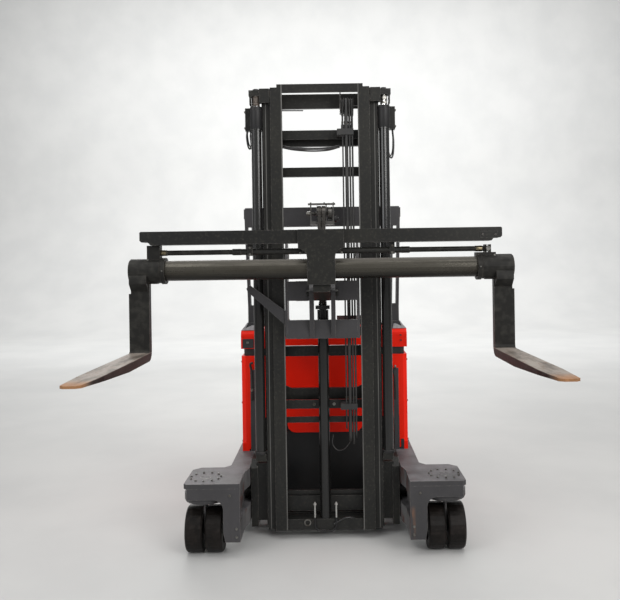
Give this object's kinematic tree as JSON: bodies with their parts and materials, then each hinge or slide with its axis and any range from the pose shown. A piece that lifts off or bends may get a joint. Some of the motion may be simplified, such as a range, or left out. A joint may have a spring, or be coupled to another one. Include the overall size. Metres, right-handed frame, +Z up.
{
  "type": "multidirectional forklift",
  "caption": "Four-way reach truck: telescopic three-stage mast on load arms with steered wheels, a fork positioner on a round tube with wide-set forks, and a sideways seat under a guard.",
  "frame": {"origin": "on the floor under the middle of the outline, with the truck as it stands in the picture", "axes": "+Z up, -Y the way the forks point and the mast reaches, +Y the driver's end, +X the open side where the driver gets in"},
  "size_m": [2.276, 3.389, 2.985],
  "materials": {
    "red_paint": "semi-gloss",
    "anthracite_paint": "satin",
    "mast_paint": "satin",
    "black_steel": "matt",
    "black_plastic": "matt",
    "black_rubber": "matt",
    "wheel_tread": "matt",
    "rod_chrome": "polished",
    "bare_steel": "machined",
    "greased_steel": "greased",
    "worn_fork_steel": "worn",
    "seat_vinyl": "soft"
  },
  "bodies": {
    "truck": {"chassis_frame": "anthracite_paint", "battery": "black_steel", "battery_panel": "red_paint", "hood_seal": "black_rubber", "battery_hood": "red_paint", "cab_shell": "red_paint", "motor_cover": "anthracite_paint", "pedals": "black_rubber", "seat_cushion": "seat_vinyl", "seat_backrest": "seat_vinyl", "dashboard": "black_plastic", "steering_pod": "anthracite_paint", "drive_motor": "black_steel", "overhead_guard": "anthracite_paint", "reach_cylinder": "black_steel", "load_arm_left": "anthracite_paint", "load_arm_right": "anthracite_paint"},
    "hand_wheel": {"steering_wheel": "black_plastic"},
    "drive_unit": {"drive_yoke": "anthracite_paint"},
    "drive_roller": {"drive_wheel": "wheel_tread"},
    "left_turntable": {"steer_yoke_left": "anthracite_paint"},
    "left_wheels": {"load_wheels_left": "wheel_tread"},
    "right_turntable": {"steer_yoke_right": "anthracite_paint"},
    "right_wheels": {"load_wheels_right": "wheel_tread"},
    "reach_frame": {"reach_carriage": "mast_paint", "reach_rod": "rod_chrome", "mast_outer": "mast_paint", "lift_cylinder_left": "mast_paint", "lift_cylinder_right": "mast_paint", "stage_chain_left": "greased_steel", "stage_chain_right": "greased_steel"},
    "middle_stage": {"mast_middle": "mast_paint", "lift_rod_left": "rod_chrome", "lift_rod_right": "rod_chrome"},
    "inner_stage": {"mast_inner": "mast_paint", "mast_hoses": "black_rubber", "free_lift_cylinder": "mast_paint", "chain_to_mast": "greased_steel"},
    "free_lift_head": {"free_lift_rod": "bare_steel", "chain_to_carriage": "greased_steel"},
    "carriage": {"lift_carriage": "mast_paint"},
    "spreader": {"spreader_bracket": "mast_paint", "spreader_beam": "mast_paint", "spreader_tube": "greased_steel", "positioner_left": "mast_paint", "positioner_right": "mast_paint"},
    "left_fork": {"fork_left": "worn_fork_steel"},
    "right_fork": {"fork_right": "worn_fork_steel"}
  },
  "joints": [
    {"name": "reach", "type": "slide", "parent": "truck", "child": "reach_frame", "axis": [0, -1, 0], "range_m": [0, 0.42]},
    {"name": "mast_lift", "type": "slide", "parent": "reach_frame", "child": "middle_stage", "axis": [0, 0, 1], "range_m": [0, 1.95], "deforming": ["stage_chain_left", "stage_chain_right"]},
    {"name": "inner_lift", "type": "slide", "parent": "middle_stage", "child": "inner_stage", "axis": [0, 0, 1], "range_m": [0, 1.95]},
    {"name": "free_lift", "type": "slide", "parent": "inner_stage", "child": "free_lift_head", "axis": [0, 0, 1], "range_m": [-0.55, 0.3], "deforming": ["chain_to_mast"]},
    {"name": "carriage_lift", "type": "slide", "parent": "free_lift_head", "child": "carriage", "axis": [0, 0, 1], "range_m": [-0.55, 0.3], "deforming": ["chain_to_carriage"]},
    {"name": "carriage_tilt", "type": "hinge", "parent": "carriage", "child": "spreader", "pos_m": [0, -0.1555, 1.62], "axis": [-1, 0, 0], "range_deg": [-2, 4]},
    {"name": "left_fork_slide", "type": "slide", "parent": "spreader", "child": "left_fork", "axis": [1, 0, 0], "range_m": [0, 0.38]},
    {"name": "right_fork_slide", "type": "slide", "parent": "spreader", "child": "right_fork", "axis": [-1, 0, 0], "range_m": [0, 0.38]},
    {"name": "left_steer", "type": "hinge", "parent": "truck", "child": "left_turntable", "pos_m": [-0.755, -0.1855, 0.38], "axis": [0, 0, 1], "range_deg": [-95, 95]},
    {"name": "left_roll", "type": "hinge", "parent": "left_turntable", "child": "left_wheels", "pos_m": [-0.755, -0.1855, 0.1425], "axis": [1, 0, 0], "continuous": true},
    {"name": "right_steer", "type": "hinge", "parent": "truck", "child": "right_turntable", "pos_m": [0.755, -0.1855, 0.38], "axis": [0, 0, 1], "range_deg": [-95, 95]},
    {"name": "right_roll", "type": "hinge", "parent": "right_turntable", "child": "right_wheels", "pos_m": [0.755, -0.1855, 0.1425], "axis": [1, 0, 0], "continuous": true},
    {"name": "drive_steer", "type": "hinge", "parent": "truck", "child": "drive_unit", "pos_m": [0, 1.4145, 0.38], "axis": [0, 0, 1], "range_deg": [-95, 95]},
    {"name": "drive_roll", "type": "hinge", "parent": "drive_unit", "child": "drive_roller", "pos_m": [0, 1.4145, 0.1715], "axis": [1, 0, 0], "continuous": true},
    {"name": "hand_wheel_turn", "type": "hinge", "parent": "truck", "child": "hand_wheel", "pos_m": [0.3, 1.4945, 1.01], "axis": [0, 0, 1], "continuous": true}
  ],
  "couplings": [
    {"joint": "inner_lift", "follows": "mast_lift", "ratio": 1},
    {"joint": "carriage_lift", "follows": "free_lift", "ratio": 1},
    {"joint": "right_fork_slide", "follows": "left_fork_slide", "ratio": 1}
  ]
}
